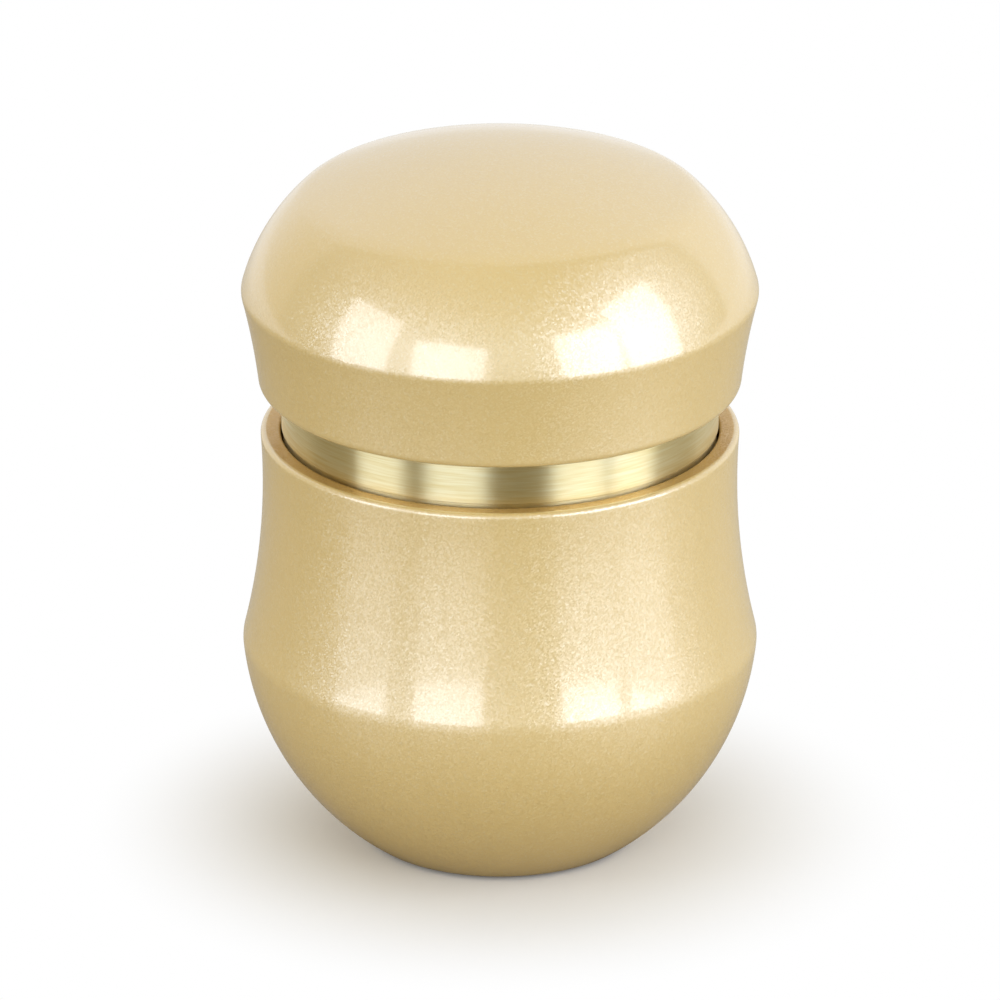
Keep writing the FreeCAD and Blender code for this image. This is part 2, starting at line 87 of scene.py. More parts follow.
def turn_between(run, following):
    """The angle by which the way turns to the left where one run meets the next."""
    before, after = run[-1] - run[-2], following[1] - following[0]
    return math.atan2(before[0] * after[1] - before[1] * after[0], before @ after)


def joined(runs, rounds):
    """One outline from runs that meet end to end, each meeting rounded by an arc of its own radius.

    An arc of radius r over a turn t starts and ends r tan(t / 2) from its corner.  With as many radii
    as runs the outline is closed, and the last radius rounds its start.
    """
    closed = len(rounds) == len(runs)
    turns = [turn_between(*pair) for pair in zip(runs, runs[1:] + runs[:1])][:len(rounds)]
    reaches = [radius * abs(math.tan(turn / 2)) for radius, turn in zip(rounds, turns)]
    start_cuts = reaches[-1:] + reaches[:-1] if closed else [0, *reaches]
    end_cuts = reaches if closed else [*reaches, 0]
    kept = [trimmed(*cuts) for cuts in zip(runs, start_cuts, end_cuts)]
    pieces = []
    for i, run in enumerate(kept):
        pieces.append(run)
        if i < len(rounds):
            following = kept[(i + 1) % len(kept)]
            side = math.copysign(1, turns[i])
            pieces.append(bulged(run[-1], following[0], rounds[i], side, count=9)[1:-1])
    return np.concatenate(pieces)


def turned(outline, turns=256, facet=1.0):
    """Points and faces of a solid of revolution: (r, z) goes to (r cos a, r sin a, z) for every turn a.

    The outline runs with the solid on its left.  One that starts and ends on the axis closes there
    in two poles; any other goes round to its own start.  facet multiplies r by a factor for each
    outline point and turn, where a wall isn't round.
    """
    closed = outline[0, 0] > 0
    radius, height = outline.T if closed else outline[1:-1].T
    angle = np.arange(turns) * 2 * math.pi / turns
    around = radius[:, None] * facet
    grid = np.broadcast_arrays(around * np.cos(angle), around * np.sin(angle), height[:, None])
    points = np.stack(grid, axis=-1).reshape(-1, 3)
    index = np.arange(len(points)).reshape(-1, turns)
    lower = index if closed else index[:-1]
    upper = np.roll(index, -1, axis=0) if closed else index[1:]
    corners = [lower, np.roll(lower, -1, axis=1), np.roll(upper, -1, axis=1), upper]
    faces = np.stack(corners, axis=-1).reshape(-1, 4).tolist()
    if not closed:
        poles = len(points) + np.arange(2)[:, None].repeat(turns, axis=1)
        points = np.concatenate([points, [[0, 0, outline[0, 1]], [0, 0, outline[-1, 1]]]])
        faces += np.stack([poles[0], np.roll(index[0], -1), index[0]], axis=1).tolist()
        faces += np.stack([poles[1], index[-1], np.roll(index[-1], -1)], axis=1).tolist()
    return points, faces


def new_piece(name, points, faces):
    """A mesh object at the origin, smooth except over its sharper edges."""
    mesh = bpy.data.meshes.new(name)
    mesh.from_pydata(points.tolist(), [], faces)
    mesh.polygons.foreach_set("use_smooth", np.ones(len(mesh.polygons), bool))
    mesh.set_sharp_from_angle(angle=math.radians(40))
    piece = bpy.data.objects.new(name, mesh)
    bpy.context.scene.collection.objects.link(piece)
    return piece


def mark(piece, name, outline, first, last):
    """Give a piece of TURNS turns an attribute, 1 on one stretch of its outline and 0 elsewhere.

    The stretch runs between the outline's points nearest to two (radius, height) points.
    """
    start, stop = (np.hypot(*(outline - end).T).argmin() for end in (first, last))
    marked = np.zeros(len(outline))
    marked[start:stop + 1] = 1
    values = np.concatenate([marked[1:-1].repeat(TURNS), marked[[0, -1]]])
    piece.data.attributes.new(name, "FLOAT", "POINT").data.foreach_set("value", values)


def dress(piece, material, body, node):
    """Give a piece its material and its body, and hide the CAD node it stands for."""
    piece.data.materials.clear()
    piece.data.materials.append(material)
    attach(piece, body)
    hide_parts(node)


class Signal:
    """One output of a finish's nodes; arithmetic on it adds Math nodes to that finish."""

    def __init__(self, finish, socket):
        self.finish = finish
        self.socket = socket

    def __add__(self, other):
        return self.finish.math("ADD", self, other)

    def __sub__(self, other):
        return self.finish.math("SUBTRACT", self, other)

    def __rsub__(self, other):
        return self.finish.math("SUBTRACT", other, self)

    def __mul__(self, other):
        return self.finish.math("MULTIPLY", self, other)

    def __pow__(self, other):
        return self.finish.math("POWER", self, other)

    __radd__ = __add__
    __rmul__ = __mul__


class Finish:
    """The nodes of one material, or of the world."""

    def __init__(self, owner):
        owner.use_nodes = True
        self.owner = owner
        self.tree = owner.node_tree

    def fill(self, socket, value):
        """Put a number, a colour or a signal into a socket."""
        if isinstance(value, Signal):
            self.tree.links.new(value.socket, socket)
        else:
            socket.default_value = value

    def node(self, kind, output, settings=None, sockets=None):
        """Add a node, set it up, fill its sockets and return one of its outputs."""
        node = self.tree.nodes.new("ShaderNode" + kind)
        for setting, value in (settings or {}).items():
            setattr(node, setting, value)
        for name, value in (sockets or {}).items():
            self.fill(node.inputs[name], value)
        return Signal(self, node.outputs[output])

    def math(self, operation, *values):
        return self.node("Math", "Value", {"operation": operation}, dict(enumerate(values)))

    def vector(self, operation, *values):
        return self.node("VectorMath", "Vector", {"operation": operation}, dict(enumerate(values)))

    def mix(self, share, first, second):
        """The colour or vector that lies a share of the way from one to another."""
        return self.node("Mix", 2, {"data_type": "RGBA"}, {0: share, 6: first, 7: second})

    def between(self, value, low, high):
        """0 below low, 1 above high and a smooth step between them."""
        sockets = {"Value": value, "From Min": low, "From Max": high}
        return self.node("MapRange", "Result", {"interpolation_type": "SMOOTHSTEP"}, sockets)

    def place(self):
        """Where on the object, in metres from its origin."""
        return self.node("TexCoord", "Object")

    def off_axis(self):
        """How far from the axis of the grinder, in metres."""
        level = self.vector("MULTIPLY", self.place(), (1, 1, 0))
        return self.node("VectorMath", "Value", {"operation": "LENGTH"}, {0: level})

    def noise(self, size, detail=2.0):
        """Noise from 0 to 1 whose lumps are about one size across."""
        sockets = {"Vector": self.place(), "Scale": 1 / size, "Detail": detail}
        return self.node("TexNoise", 0, {}, sockets)

    def lathe_marks(self, size):
        """Noise that depends on radius and height alone, so that it lies in rings about the axis."""
        height = self.node("SeparateXYZ", "Z", {}, {0: self.place()})
        across = self.node("CombineXYZ", 0, {}, {"X": self.off_axis(), "Y": height})
        sockets = {"Vector": across, "Scale": 1 / size, "Detail": 3.0}
        return self.node("TexNoise", 0, {"noise_dimensions": "2D"}, sockets)

    def bump(self, height, depth):
        """A normal tilted by heights from 0 to 1 that stand for a depth in metres."""
        return self.node("Bump", "Normal", {}, {"Height": height, "Distance": depth})

    def principled(self, **sockets):
        """Set the principled shader, whose sockets are named in lower case, and return the material."""
        shader = self.tree.nodes["Principled BSDF"]
        by_name = {socket.name.lower().replace(" ", "_"): socket for socket in shader.inputs}
        for name, value in sockets.items():
            self.fill(by_name[name], value)
        return self.owner


def new_finish(name):
    """An empty material to build a finish in."""
    return Finish(bpy.data.materials.new(name))


FLAKE_SIZE = 0.16 * MM
FLAKE_TILT = 0.24
GROUND = (0.82, 0.575, 0.149, 1), (0.87, 0.615, 0.175, 1)
WARM_FLAKE = (0.88, 0.58, 0.17, 1)
PEARL_GLINT = (0.93, 0.82, 0.56, 1)
LIP_SHADE_GOLD = (0.60, 0.38, 0.13, 1)
BARE_METAL = (0.66, 0.66, 0.65, 1), (0.82, 0.82, 0.81, 1)


def champagne_lacquer():
    """Pearl flakes in a champagne ground under clear gloss lacquer, and bare turned aluminium.

    Each flake is a cell with its own tilt, tone and warmth, and noise over centimetres keeps the spray
    from being even.  One attribute is 1 on the lip and just inside the mouth, where shade and the warm
    reflection of the brass are painted in as deep gold under less clear coat, and bare is 1 where the
    shell is left as it was turned.
    """
    finish = new_finish("champagne_lacquer")
    bare = finish.node("Attribute", "Fac", {"attribute_name": "bare"})
    thick = finish.node("Attribute", "Fac", {"attribute_name": "thick"})
    cells = {"Vector": finish.place(), "Scale": 1 / FLAKE_SIZE}
    flake = finish.node("TexVoronoi", "Color", {}, cells)
    chance = finish.node("SeparateColor", "Red", {}, {"Color": flake})
    warmth = finish.node("SeparateColor", "Green", {}, {"Color": flake})
    ground = finish.mix(finish.noise(18 * MM), *GROUND)
    tinted = finish.mix(warmth * 0.3, ground, WARM_FLAKE)
    glint = chance ** 5.0
    pearl = finish.mix(glint * 0.3, tinted, PEARL_GLINT)
    # Painted shade: on the marked lip and mouth the colour goes most of the way to deep gold, standing
    # in for shade and the brass's warm reflection there; metallic rises and the clear coat thins with
    # it.
    coloured = finish.mix(thick * 0.8, pearl, LIP_SHADE_GOLD)
    marks = finish.lathe_marks(0.12 * MM)
    metal = finish.mix(marks, *BARE_METAL)
    lean = finish.vector("SUBTRACT", flake, (0.5, 0.5, 0.5))
    tilt = finish.vector("MULTIPLY", lean, (FLAKE_TILT, FLAKE_TILT, FLAKE_TILT))
    facing = finish.node("NewGeometry", "Normal")
    flake_normal = finish.vector("NORMALIZE", finish.vector("ADD", facing, tilt))
    return finish.principled(
        base_color=finish.mix(bare, coloured, metal),
        metallic=bare + 0.8 * thick,
        roughness=0.46 - 0.06 * glint - 0.12 * bare,
        normal=finish.mix(bare, flake_normal, finish.bump(marks, 0.004 * MM)),
        coat_weight=1.0 - bare - 0.8 * thick,
        coat_roughness=0.12,
        coat_ior=1.9,
        ior=3.5,
    )


lacquer = champagne_lacquer()

FOOT_PROUD = 0.4 * MM
BASE = (14.55 * MM, FOOT_PROUD)
BOWL_CREASE = (27.5 * MM, 22.7 * MM)
RIM = (25.5 * MM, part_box("bowl_shell")[1].z)
MOUTH = (23.35 * MM, RIM[1])
LEDGE = (20.6 * MM, 28.5 * MM)
BOWL_FLOOR = 3.8 * MM
LIP_SHADE_REACH = 1.5 * MM
SPRAY_DEPTH = 6.0 * MM
PAD_RADIUS, _, PAD_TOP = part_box("foot_pad")[1]

# Rounds of the recess (two), base, crease, rim, mouth, root and edge of the ledge, and bowl floor.
bowl_rounds = [radius * MM for radius in (0.1, 0.1, 0.6, 4.0, 0.5, 0.3, 0.2, 0.3, 12.0)]
bowl_outline = joined(
    through((0, PAD_TOP), (PAD_RADIUS, PAD_TOP), (PAD_RADIUS, FOOT_PROUD), BASE)
    + [bulged(BASE, BOWL_CREASE, 29.95 * MM, LEFT), bulged(BOWL_CREASE, RIM, 73.2 * MM, RIGHT)]
    + through(RIM, MOUTH, (MOUTH[0], LEDGE[1]), LEDGE, (LEDGE[0], BOWL_FLOOR), (0, BOWL_FLOOR)),
    bowl_rounds)
bowl = new_piece("bowl", *turned(bowl_outline, TURNS))
spray_end = (MOUTH[0], MOUTH[1] - SPRAY_DEPTH)
# Painted shade: the inner lip and the first millimetres of the mouth are marked for painted shade and
# the brass's warm reflection.
mark(bowl, "thick", bowl_outline, (MOUTH[0] + LIP_SHADE_REACH, MOUTH[1]), spray_end)
mark(bowl, "bare", bowl_outline, spray_end, (0, BOWL_FLOOR))
dress(bowl, lacquer, "bowl", "bowl_shell")

# Foot pad
# A moulded silicone disc stuck into the recess under the base, a little proud of the lacquer.
# Its face has fine rings that keep the grinder from slipping.


def foot_silicone():
    """Dull dark silicone whose moulded rings are a sine of the distance from the axis."""
    finish = new_finish("foot_silicone")
    rings = finish.math("SINE", finish.off_axis() * (2 * math.pi / (1.2 * MM)))
    grain = finish.noise(0.3 * MM)
    return finish.principled(
        base_color=finish.mix(grain, (0.050, 0.046, 0.042, 1), (0.085, 0.078, 0.070, 1)),
        roughness=0.60 + 0.15 * grain,
        normal=finish.bump(0.5 * rings + 0.1 * grain, 0.12 * MM),
    )


pad_outline = joined(
    through((0, 0), (PAD_RADIUS, 0), (PAD_RADIUS, PAD_TOP), (0, PAD_TOP)), [0.3 * MM, 0.1 * MM])
pad = new_piece("foot_disc", *turned(pad_outline))
dress(pad, foot_silicone(), "bowl", "foot_pad")

# Drive pins
# Three ground steel dowels pressed into the ledge of the bowl.
# They stand through the flange of the sieve into the grinding insert, so neither can turn.


def ring_of(shape, radius, count):
    """Copies of a shape, evenly spaced on a circle about the axis."""
    points, faces = shape
    angle = np.arange(count) * 2 * math.pi / count
    places = radius * np.stack([np.cos(angle), np.sin(angle), 0 * angle], axis=1)
    spread = (places[:, None] + points).reshape(-1, 3)
    offsets = range(0, count * len(points), len(points))
    return spread, [[corner + offset for corner in face] for offset in offsets for face in faces]


def ground_steel(name, dark, light, roughness):
    """Bright steel with fine grinding grain and faint handling haze."""
    finish = new_finish(name)
    grain = finish.noise(0.08 * MM, detail=4.0)
    haze = finish.noise(2.5 * MM)
    return finish.principled(
        base_color=finish.mix(grain, dark, light),
        metallic=1.0,
        roughness=roughness + 0.10 * haze + 0.05 * grain,
        normal=finish.bump(grain, 0.002 * MM),
    )


steel = ground_steel("bright_steel", (0.52, 0.52, 0.53, 1), (0.66, 0.66, 0.67, 1), 0.20)

PIN_RADIUS = 0.75 * MM
PIN_CIRCLE = 21.6 * MM
PIN_LOW, PIN_HIGH = (corner.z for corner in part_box("drive_pins"))
pin_outline = joined(
    through((0, PIN_LOW), (PIN_RADIUS, PIN_LOW), (PIN_RADIUS, PIN_HIGH), (0, PIN_HIGH)),
    [0.2 * MM, 0.3 * MM])
pins = new_piece("dowels", *ring_of(turned(pin_outline, turns=32), PIN_CIRCLE, count=3))
dress(pins, steel, "bowl", "drive_pins")

# Sieve cup
# A thin turned aluminium cup that hangs by its flange on the ledge of the bowl.
# The flange has three holes for the pins, and the lip carries the net.

EASED_EDGE = 0.12 * MM


def eased_copy(node, width):
    """A copy of a CAD node with its sharp edges eased by a width.

    Its loose triangles are joined, those that lie in one plane become one face, and each edge that
    turns by more than 30 degrees gets a narrow rounded strip, which leaves the faces beside it flat.
    """
    work = bmesh.new()
    work.from_mesh(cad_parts[node].data)
    bmesh.ops.remove_doubles(work, verts=work.verts, dist=0.001 * MM)
    bmesh.ops.dissolve_limit(work, angle_limit=math.radians(0.5), verts=work.verts, edges=work.edges)
    points = np.array([vertex.co for vertex in work.verts])
    faces = [[vertex.index for vertex in face.verts] for face in work.faces]
    work.free()
    piece = new_piece("finished_" + node, points, faces)
    edges = piece.modifiers.new("eased_edges", "BEVEL")
    edges.width = width
    edges.segments = 2
    edges.angle_limit = math.radians(30)
    edges.harden_normals = True
    return piece


def turned_aluminium(name, dark, light, roughness):
    """Bare aluminium with a lathe's rings, coarse over fine, and a little haze from washing."""
    finish = new_finish(name)
    marks = 0.5 * finish.lathe_marks(0.10 * MM) + 0.5 * finish.lathe_marks(0.45 * MM)
    haze = finish.noise(4.0 * MM)
    return finish.principled(
        base_color=finish.mix(finish.between(0.75 * marks + 0.25 * haze, 0.3, 0.7), dark, light),
        metallic=1.0,
        roughness=roughness + 0.10 * marks + 0.08 * haze,
        normal=finish.bump(marks, 0.004 * MM),
        anisotropic=0.7,
    )


cup_metal = turned_aluminium("sieve_aluminium", (0.68, 0.68, 0.68, 1), (0.88, 0.88, 0.87, 1), 0.24)
dress(eased_copy("sieve_cup", EASED_EDGE), cup_metal, "sieve", "sieve_cup")

# Sieve net
# Fine stainless wire in plain weave, cut round and laid on the lip of the cup.
# Each wire passes over and under the next, out of step with its neighbours.

NET_PITCH = 0.8 * MM
WIRE_RADIUS = 0.07 * MM
net_low, net_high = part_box("sieve_mesh")


def woven_net(radius, pitch, wire, steps=150, sides=5):
    """Points and faces of two crossing sets of wires, cut to a circle.

    Along a wire the height is a sine with one half wave to the pitch, turned over from wire to wire
    and from set to set.  A ring of points round every step makes the tube.
    """
    rows = np.arange(-int(radius / pitch), int(radius / pitch) + 1)
    aside = rows * pitch
    reach = np.sqrt(radius ** 2 - aside ** 2)
    along = reach[:, None] * np.linspace(-1, 1, steps)
    around = np.arange(sides) * 2 * math.pi / sides
    weave = wire * np.sin(math.pi * (along / pitch + 0.5)) * (-1.0) ** rows[:, None]
    height = weave[..., None] + wire * np.sin(around)
    across = aside[:, None, None] + wire * np.cos(around) + 0 * height
    ahead = along[..., None] + 0 * height
    one_way = np.stack([ahead, across, height], axis=-1)
    other_way = np.stack([across, ahead, -height], axis=-1)
    points = np.concatenate([one_way, other_way]).reshape(-1, 3)
    index = np.arange(len(points)).reshape(-1, steps, sides)
    here, beyond = index[:, :-1], index[:, 1:]
    corners = [here, np.roll(here, -1, axis=2), np.roll(beyond, -1, axis=2), beyond]
    walls = np.stack(corners, axis=-1).reshape(-1, 4)
    return points, walls.tolist() + index[:, 0, ::-1].tolist() + index[:, -1].tolist()


net_points, net_faces = woven_net(net_high.x, NET_PITCH, WIRE_RADIUS)
net_points[:, 2] += (net_low.z + net_high.z) / 2
wire_steel = ground_steel("wire_steel", (0.46, 0.46, 0.46, 1), (0.60, 0.60, 0.59, 1), 0.30)
dress(new_piece("net", net_points, net_faces), wire_steel, "sieve", "sieve_mesh")

# Mesh ring
# A turned aluminium ring sprung into the cup to hold the edge of the net down.
# Its section is a plain rectangle with broken edges.

ring_low, ring_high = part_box("mesh_ring")
RING_BORE = 17.4 * MM
mesh_ring_outline = joined(through(
    (RING_BORE, ring_low.z), (ring_high.x, ring_low.z), (ring_high.x, ring_high.z),
    (RING_BORE, ring_high.z), (RING_BORE, ring_low.z)), [0.15 * MM] * 4)
dress(new_piece("net_ring", *turned(mesh_ring_outline)), cup_metal, "sieve", "mesh_ring")

# Grinding insert
# A cup milled from aluminium, with two rings of diamond teeth, drop holes between them and a boss.
# It slides into the mouth of the bowl and sits on the flange of the sieve.

tooth_metal = turned_aluminium("milled_aluminium", (0.66, 0.66, 0.67, 1), (0.86, 0.86, 0.86, 1), 0.20)
dress(eased_copy("grinding_insert", EASED_EDGE), tooth_metal, "insert", "grinding_insert")

# Magnets
# Two nickel-plated discs, one pressed into each boss, that draw the cap down onto the insert.
# They are alike, with broken edges.


def nickel():
    """Bright nickel plate with orange-peel waviness and a few dull patches."""
    finish = new_finish("nickel_plate")
    peel = finish.noise(0.5 * MM)
    patches = finish.noise(2.0 * MM, detail=3.0)
    return finish.principled(
        base_color=finish.mix(patches, (0.62, 0.59, 0.54, 1), (0.72, 0.69, 0.64, 1)),
        metallic=1.0,
        roughness=0.12 + 0.16 * patches,
        normal=finish.bump(peel, 0.004 * MM),
    )


plated = nickel()


def magnet_disc(node):
    """A disc with broken edges, the size of a magnet's CAD node."""
    low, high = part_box(node)
    edges = through((0, low.z), (high.x, low.z), (high.x, high.z), (0, high.z))
    return turned(joined(edges, [0.25 * MM] * 2), turns=96)


lower_magnet = new_piece("lower_magnet", *magnet_disc("insert_magnet"))
dress(lower_magnet, plated, "insert", "insert_magnet")
upper_magnet = new_piece("upper_magnet", *magnet_disc("cap_magnet"))
dress(upper_magnet, plated, "cap", "cap_magnet")

# Insert seal
# A round-section rubber ring in the groove of the insert, which grips the bore of the bowl.
# It is moulded, and its section is a circle carried round the axis.


def seal_rubber():
    """Black rubber with a faint bloom and moulding grain."""
    finish = new_finish("seal_rubber")
    bloom = finish.noise(3.0 * MM, detail=3.0)
    grain = finish.noise(0.12 * MM)
    return finish.principled(
        base_color=finish.mix(bloom, (0.018, 0.018, 0.018, 1), (0.050, 0.049, 0.047, 1)),
        roughness=0.48 + 0.2 * bloom,
        normal=finish.bump(grain, 0.010 * MM),
    )


seal_low, seal_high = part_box("insert_seal")
SEAL_SECTION = (seal_high.z - seal_low.z) / 2
seal_angle = np.linspace(0, 2 * math.pi, 24, endpoint=False)
seal_outline = np.stack([
    seal_high.x - SEAL_SECTION + SEAL_SECTION * np.cos(seal_angle),
    seal_low.z + SEAL_SECTION + SEAL_SECTION * np.sin(seal_angle)], axis=1)
seal = new_piece("rubber_ring", *turned(seal_outline))
dress(seal, seal_rubber(), "insert", "insert_seal")

# Glide ring
# An L-section ring of white acetal round the end of the collar, on which the cap turns.
# It rests on the wall of the insert and lifts off with the cap.


def acetal():
    """Slightly waxy white plastic with turning rings and a little grey from wear."""
    finish = new_finish("glide_acetal")
    marks = finish.lathe_marks(0.15 * MM)
    wear = finish.noise(3.0 * MM, detail=4.0)
    return finish.principled(
        base_color=finish.mix(wear * 0.6, (0.80, 0.79, 0.75, 1), (0.62, 0.61, 0.58, 1)),
        roughness=0.34 + 0.18 * marks,
        normal=finish.bump(marks, 0.006 * MM),
    )


glide_low, glide_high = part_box("glide_ring")
collar_low, collar_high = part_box("brass_collar")
COLLAR_BORE = 21.05 * MM
GLIDE_BORE = 22.33 * MM
glide_outline = joined(through(
    (COLLAR_BORE, glide_low.z), (glide_high.x, glide_low.z), (glide_high.x, glide_high.z),
    (GLIDE_BORE, glide_high.z), (GLIDE_BORE, collar_low.z), (COLLAR_BORE, collar_low.z),
    (COLLAR_BORE, glide_low.z)), [0.15 * MM] * 6)
dress(new_piece("glide", *turned(glide_outline)), acetal(), "glide", "glide_ring")

# Brass collar
# A ring turned from solid brass and pressed into the cap, with a web that carries the tooth plate.
# A band that stands a little proud shows between cap and bowl, the last cut of the lathe left on it.


def turned_brass():
    """Brass whose fine lathe rings draw reflections out up and down the ring.

    Fine rings and streaks of noise, long round the axis and short along it, set the tone.  Coarse
    rings vary the polish, and slow noise gives a hint of tarnish.
    """
    finish = new_finish("turned_brass")
    fine = finish.lathe_marks(0.05 * MM)
    coarse = finish.lathe_marks(0.30 * MM)
    tarnish = finish.noise(9 * MM, detail=3.0)
    streak_length, streak_height = 5 * MM, 0.22 * MM
    per_streak = (1 / streak_length, 1 / streak_length, 1 / streak_height)
    drawn = finish.vector("MULTIPLY", finish.place(), per_streak)
    streaks = finish.node("TexNoise", 0, {}, {"Vector": drawn, "Scale": 1.0, "Detail": 3.0})
    tone = finish.between(0.3 * fine + 0.7 * streaks, 0.3, 0.7)
    bright = finish.mix(tone, (0.86, 0.75, 0.40, 1), (0.98, 0.93, 0.66, 1))
    return finish.principled(
        base_color=finish.mix(tarnish * 0.35, bright, (0.66, 0.52, 0.22, 1)),
        metallic=1.0,
        roughness=0.27 + 0.05 * coarse + 0.02 * tarnish,
        normal=finish.bump(fine, 0.005 * MM),
        anisotropic=1.0,
        anisotropic_rotation=0.25,
    )


COLLAR_RADIUS = collar_high.x
BAND_RADIUS = COLLAR_RADIUS + 0.2 * MM
BAND_LOW, BAND_HIGH = 46.6 * MM, 51.45 * MM
REBATE = (22.25 * MM, 41.38 * MM)
PLATE_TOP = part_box("upper_tooth_plate")[1].z
WEB_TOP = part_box("cap_screws")[1].z
WEB_BORE = 9.5 * MM
collar_outline = joined(through(
    (COLLAR_BORE, collar_low.z), (REBATE[0], collar_low.z), REBATE, (COLLAR_RADIUS, REBATE[1]),
    (COLLAR_RADIUS, BAND_LOW), (BAND_RADIUS, BAND_LOW), (BAND_RADIUS, BAND_HIGH),
    (COLLAR_RADIUS, BAND_HIGH), (COLLAR_RADIUS, collar_high.z), (COLLAR_BORE, collar_high.z),
    (COLLAR_BORE, WEB_TOP), (WEB_BORE, WEB_TOP), (WEB_BORE, PLATE_TOP), (COLLAR_BORE, PLATE_TOP),
    (COLLAR_BORE, collar_low.z)),
    [0.15 * MM, 0.1 * MM, 0.2 * MM] + [0.05 * MM, 0.1 * MM] * 2 + [0.15 * MM] * 7)
collar = new_piece("collar", *turned(collar_outline, TURNS))
dress(collar, turned_brass(), "cap", "brass_collar")

# Upper tooth plate
# A milled aluminium disc screwed up into the collar, with two rings of diamond teeth hanging from it.
# They pass between the rings of the insert when the cap is turned.

tooth_plate = eased_copy("upper_tooth_plate", EASED_EDGE)
dress(tooth_plate, tooth_metal, "cap", "upper_tooth_plate")

# Cap screws
# Three countersunk socket screws, driven up through the tooth plate into the web of the collar.
# They are steel, turned to shape, with the six-sided sockets pressed in.

SCREW_CIRCLE = 12.0 * MM
SCREW_HEAD = 1.9 * MM
SCREW_SHANK = 1.0 * MM
SOCKET_FLATS = 0.75 * MM
SOCKET_DEPTH = 0.9 * MM
screw_low, screw_high = (corner.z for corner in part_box("cap_screws"))


def socket_screw(turns=48):
    """A countersunk screw, head down, with a six-sided socket.

    A wall of the socket lies at its half width over cos(a), with a measured from the middle of the
    nearest flat, so only the outline's socket points take that factor.
    """
    socket_floor = screw_low + SOCKET_DEPTH
    head_top = screw_low + SCREW_HEAD - SCREW_SHANK
    outline = joined(through(
        (0, socket_floor), (SOCKET_FLATS, socket_floor), (SOCKET_FLATS, screw_low),
        (SCREW_HEAD, screw_low), (SCREW_SHANK, head_top), (SCREW_SHANK, screw_high), (0, screw_high)),
        [0.05 * MM, 0.05 * MM, 0.15 * MM, 0.1 * MM, 0.2 * MM])
    angle = np.arange(turns) * 2 * math.pi / turns
    from_flat = np.mod(angle, math.pi / 3) - math.pi / 6
    radius, height = outline[1:-1].T
    in_socket = (radius <= SOCKET_FLATS + 0.06 * MM) & (height <= socket_floor)
    return turned(outline, turns, np.where(in_socket[:, None], 1 / np.cos(from_flat), 1.0))


screws = new_piece("socket_screws", *ring_of(socket_screw(), SCREW_CIRCLE, count=3))
dress(screws, steel, "cap", "cap_screws")

# Cap shell
# The knob of the grinder: a low dome over a waisted band, turned and lacquered like the bowl.
# Its counterbore holds the collar, and its hollow is left as it was turned.

CAP_LIP = (25.6 * MM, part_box("cap_shell")[0].z)
CAP_CREASE = (27.5 * MM, 62.0 * MM)
DOME_CORNER = (20.73 * MM, 72.92 * MM)
APEX = (0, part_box("cap_shell")[1].z)
SEAT = (COLLAR_RADIUS, collar_high.z)
CAP_BORE = 20.5 * MM
CAP_ROOF = (0, 73.2 * MM)

# Rounds of the roof, edge of the bore, root of the seat, inner and outer lip, crease and dome.
cap_rounds = [radius * MM for radius in (10.0, 0.2, 0.2, 0.2, 0.9, 1.6, 6.95)]
inside_lip = (SEAT[0], CAP_LIP[1])
cap_outline = joined(
    through(CAP_ROOF, (CAP_BORE, CAP_ROOF[1]), (CAP_BORE, SEAT[1]), SEAT, inside_lip, CAP_LIP)
    + [bulged(CAP_LIP, CAP_CREASE, 78.0 * MM, RIGHT),
       bulged(CAP_CREASE, DOME_CORNER, 21.3 * MM, LEFT),
       bulged(DOME_CORNER, APEX, 52.4 * MM, LEFT)],
    cap_rounds)
cap = new_piece("cap", *turned(cap_outline, TURNS))
mark(cap, "bare", cap_outline, CAP_ROOF, (SEAT[0], CAP_LIP[1] + 0.3 * MM))
dress(cap, lacquer, "cap", "cap_shell")

# Studio
# A white table that runs up into a backdrop behind and over the grinder, with four tall daylight soft
# boxes in front of it.  The rest of the room is dim and warm.

scene = bpy.context.scene
scene.view_settings.view_transform = "Standard"
GRINDER_MIDDLE = Vector((0, 0, 37.85 * MM))
BOX_DISTANCE = 0.7
DAYLIGHT = (0.94, 1.0, 1.1)


def direction(azimuth, elevation):
    """A unit vector: azimuth from the camera's side round to its right, elevation up from the table."""
    turn, lift = math.radians(azimuth), math.radians(elevation)
    return Vector((math.sin(turn) * math.cos(lift), -math.cos(turn) * math.cos(lift), math.sin(lift)))


def soft_box(name, azimuths, elevations, radiance):
    """A soft box that fills a range of azimuths and elevations, as the grinder sees it."""
    toward = direction(sum(azimuths) / 2, sum(elevations) / 2)
    light = bpy.data.lights.new(name, "AREA")
    light.shape = "RECTANGLE"
    light.size = 2 * BOX_DISTANCE * math.tan(math.radians(azimuths[1] - azimuths[0]) / 2)
    light.size_y = 2 * BOX_DISTANCE * math.tan(math.radians(elevations[1] - elevations[0]) / 2)
    light.color = DAYLIGHT
    light.energy = radiance * math.pi * light.size * light.size_y
    lamp = bpy.data.objects.new(name, light)
    lamp.location = GRINDER_MIDDLE + toward * BOX_DISTANCE
    lamp.rotation_euler = toward.to_track_quat("Z", "Y").to_euler()
    scene.collection.objects.link(lamp)


soft_box("left_box", (-77, -50), (-3, 34.5), 2.35)
soft_box("left_front_box", (-38, -7), (-3, 28), 2.65)
soft_box("right_front_box", (26.5, 53.5), (-3, 32), 3.0)
soft_box("right_box", (57.5, 84), (-3, 40), 2.55)


def ray_kinds(finish):
    """Three signals that are 1 on rays from a camera, off a gloss and through glass."""
    kinds = ("Is Camera Ray", "Is Glossy Ray", "Is Transmission Ray")
    return (finish.node("LightPath", kind) for kind in kinds)


